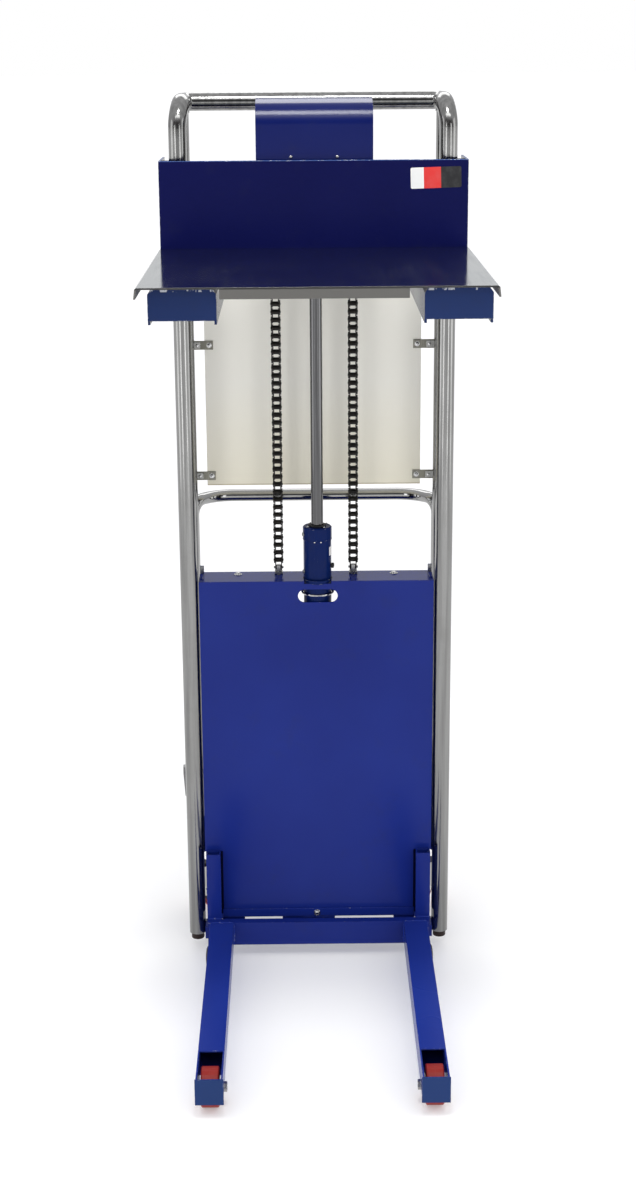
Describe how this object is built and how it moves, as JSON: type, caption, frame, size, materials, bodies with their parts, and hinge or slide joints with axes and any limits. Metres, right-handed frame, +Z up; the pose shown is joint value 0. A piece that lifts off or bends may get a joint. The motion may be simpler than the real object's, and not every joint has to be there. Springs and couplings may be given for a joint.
{
  "type": "walkie stacker",
  "caption": "Foot-pumped straddle stacker: chromed tube mast, chain-lifted forks with a steel deck plate and backrest, blue base with front rollers and swivel casters.",
  "frame": {"origin": "on the floor, in the middle of the overall width and length, with the platform raised", "axes": "+Z up, +X to the right seen from the load side, -Y towards the load side, +Y towards the operator"},
  "size_m": [0.595, 1.037, 1.7709],
  "materials": {
    "blue_paint": "glossy royal blue enamel",
    "navy_paint": "glossy blue enamel, seen dark",
    "chrome_plate": "bright chrome-plated tube",
    "satin_steel": "bare satin or zinc-plated steel",
    "dark_steel": "dark oiled chain and black levers",
    "red_polyurethane": "dark red cast polyurethane",
    "black_plastic": "black moulded plastic",
    "cream_guard": "cream translucent sheet"
  },
  "bodies": {
    "base": {"leg_left": "blue_paint", "front_axle_left": "satin_steel", "side_bumper_left": "black_plastic", "mast_rear_tube_left": "chrome_plate", "foot_plug_left": "black_plastic", "guard_clip_upper_left": "satin_steel", "guard_clip_lower_left": "satin_steel", "chain_to_frame_left": "dark_steel", "chain_anchor_left": "satin_steel", "leg_right": "blue_paint", "front_axle_right": "satin_steel", "side_bumper_right": "black_plastic", "mast_rear_tube_right": "chrome_plate", "foot_plug_right": "black_plastic", "guard_clip_upper_right": "satin_steel", "guard_clip_lower_right": "satin_steel", "chain_to_frame_right": "dark_steel", "chain_anchor_right": "satin_steel", "base_crossbar": "blue_paint", "rear_base": "blue_paint", "mast_hoop": "chrome_plate", "front_panel": "blue_paint", "mid_beam": "blue_paint", "push_handle": "chrome_plate", "guard_sheet": "cream_guard", "ram_cylinder": "blue_paint", "cylinder_clamp": "satin_steel", "pump_body": "blue_paint"},
    "crosshead": {"ram_rod": "chrome_plate", "crosshead": "blue_paint", "sheave_axle": "satin_steel", "sheave_cover": "navy_paint", "chain_over_sheave_left": "dark_steel", "chain_over_sheave_right": "dark_steel"},
    "carriage": {"backrest": "navy_paint", "carriage_beam": "navy_paint", "fork_left": "blue_paint", "fork_right": "blue_paint", "chain_to_carriage_left": "dark_steel", "chain_to_carriage_right": "dark_steel"},
    "deck": {"platform_deck": "satin_steel"},
    "pedal": {"foot_pedal": "dark_steel"},
    "plunger": {"pump_plunger": "chrome_plate"},
    "release": {"release_lever": "dark_steel"},
    "sheave_left": {"chain_sheave_left": "satin_steel"},
    "roller_left": {"front_roller_left": "red_polyurethane"},
    "caster_left": {"caster_swivel_left": "satin_steel"},
    "caster_roll_left": {"caster_wheel_left": "red_polyurethane"},
    "brake_left": {"brake_pedal_left": "satin_steel"},
    "guide_upper_left": {"guide_roller_upper_left": "black_plastic"},
    "guide_lower_left": {"guide_roller_lower_left": "black_plastic"},
    "sheave_right": {"chain_sheave_right": "satin_steel"},
    "roller_right": {"front_roller_right": "red_polyurethane"},
    "caster_right": {"caster_swivel_right": "satin_steel"},
    "caster_roll_right": {"caster_wheel_right": "red_polyurethane"},
    "brake_right": {"brake_pedal_right": "satin_steel"},
    "guide_upper_right": {"guide_roller_upper_right": "black_plastic"},
    "guide_lower_right": {"guide_roller_lower_right": "black_plastic"}
  },
  "joints": [
    {"name": "ram_slide", "type": "slide", "parent": "base", "child": "crosshead", "axis": [0, 0, 1], "range_m": [-0.676, 0], "deforming": ["chain_to_frame_left", "chain_to_frame_right"]},
    {"name": "carriage_slide", "type": "slide", "parent": "crosshead", "child": "carriage", "axis": [0, 0, 1], "range_m": [-0.676, 0], "deforming": ["chain_to_carriage_left", "chain_to_carriage_right"]},
    {"name": "deck_lift", "type": "slide", "parent": "carriage", "child": "deck", "axis": [0, 0, 1], "range_m": [0, 0.08]},
    {"name": "pedal_hinge", "type": "hinge", "parent": "base", "child": "pedal", "pos_m": [0.003, 0.2465, 0.3], "axis": [1, 0, 0], "range_deg": [-27, 0], "stiffness_Nm_per_rad": 12, "springref_deg": 40.11},
    {"name": "plunger_slide", "type": "slide", "parent": "base", "child": "plunger", "axis": [0, 0, 1], "range_m": [-0.019, 0]},
    {"name": "release_hinge", "type": "hinge", "parent": "base", "child": "release", "pos_m": [0.0536, 0.2685, 0.2], "axis": [1, 0, 0], "range_deg": [-12, 0], "stiffness_Nm_per_rad": 1.5, "springref_deg": 28.65},
    {"name": "sheave_spin_left", "type": "hinge", "parent": "crosshead", "child": "sheave_left", "pos_m": [-0.0765, 0.1885, 1.7], "axis": [1, 0, 0], "continuous": true},
    {"name": "front_roller_spin_left", "type": "hinge", "parent": "base", "child": "roller_left", "pos_m": [-0.2045, -0.4695, 0.037], "axis": [1, 0, 0], "continuous": true},
    {"name": "caster_turn_left", "type": "hinge", "parent": "base", "child": "caster_left", "pos_m": [-0.205, 0.3335, 0.1076], "axis": [0, 0, 1], "continuous": true},
    {"name": "caster_roll_left", "type": "hinge", "parent": "caster_left", "child": "caster_roll_left", "pos_m": [-0.22557, 0.35801, 0.05], "axis": [0.766, 0.6428, 0], "continuous": true},
    {"name": "brake_hinge_left", "type": "hinge", "parent": "caster_left", "child": "brake_left", "pos_m": [-0.25514, 0.39325, 0.09], "axis": [0.766, 0.6428, 0], "range_deg": [-16, 0]},
    {"name": "guide_spin_upper_left", "type": "hinge", "parent": "carriage", "child": "guide_upper_left", "pos_m": [-0.2585, 0.226, 1.633], "axis": [1, 0, 0], "continuous": true},
    {"name": "guide_spin_lower_left", "type": "hinge", "parent": "carriage", "child": "guide_lower_left", "pos_m": [-0.2585, 0.226, 1.56], "axis": [1, 0, 0], "continuous": true},
    {"name": "sheave_spin_right", "type": "hinge", "parent": "crosshead", "child": "sheave_right", "pos_m": [0.0765, 0.1885, 1.7], "axis": [1, 0, 0], "continuous": true},
    {"name": "front_roller_spin_right", "type": "hinge", "parent": "base", "child": "roller_right", "pos_m": [0.2045, -0.4695, 0.037], "axis": [1, 0, 0], "continuous": true},
    {"name": "caster_turn_right", "type": "hinge", "parent": "base", "child": "caster_right", "pos_m": [0.205, 0.3335, 0.1076], "axis": [0, 0, 1], "continuous": true},
    {"name": "caster_roll_right", "type": "hinge", "parent": "caster_right", "child": "caster_roll_right", "pos_m": [0.22196, 0.36064, 0.05], "axis": [0.848, -0.5299, 0], "continuous": true},
    {"name": "brake_hinge_right", "type": "hinge", "parent": "caster_right", "child": "brake_right", "pos_m": [0.24633, 0.39965, 0.09], "axis": [0.848, -0.5299, 0], "range_deg": [-16, 0]},
    {"name": "guide_spin_upper_right", "type": "hinge", "parent": "carriage", "child": "guide_upper_right", "pos_m": [0.2585, 0.226, 1.633], "axis": [1, 0, 0], "continuous": true},
    {"name": "guide_spin_lower_right", "type": "hinge", "parent": "carriage", "child": "guide_lower_right", "pos_m": [0.2585, 0.226, 1.56], "axis": [1, 0, 0], "continuous": true}
  ],
  "couplings": [
    {"joint": "carriage_slide", "follows": "ram_slide", "ratio": 1},
    {"joint": "plunger_slide", "follows": "pedal_hinge", "m_per_rad": 0.0395},
    {"joint": "sheave_spin_left", "follows": "ram_slide", "rad_per_m": -25},
    {"joint": "guide_spin_upper_left", "follows": "ram_slide", "rad_per_m": 67},
    {"joint": "guide_spin_lower_left", "follows": "ram_slide", "rad_per_m": -67},
    {"joint": "sheave_spin_right", "follows": "ram_slide", "rad_per_m": -25},
    {"joint": "guide_spin_upper_right", "follows": "ram_slide", "rad_per_m": 67},
    {"joint": "guide_spin_lower_right", "follows": "ram_slide", "rad_per_m": -67}
  ]
}
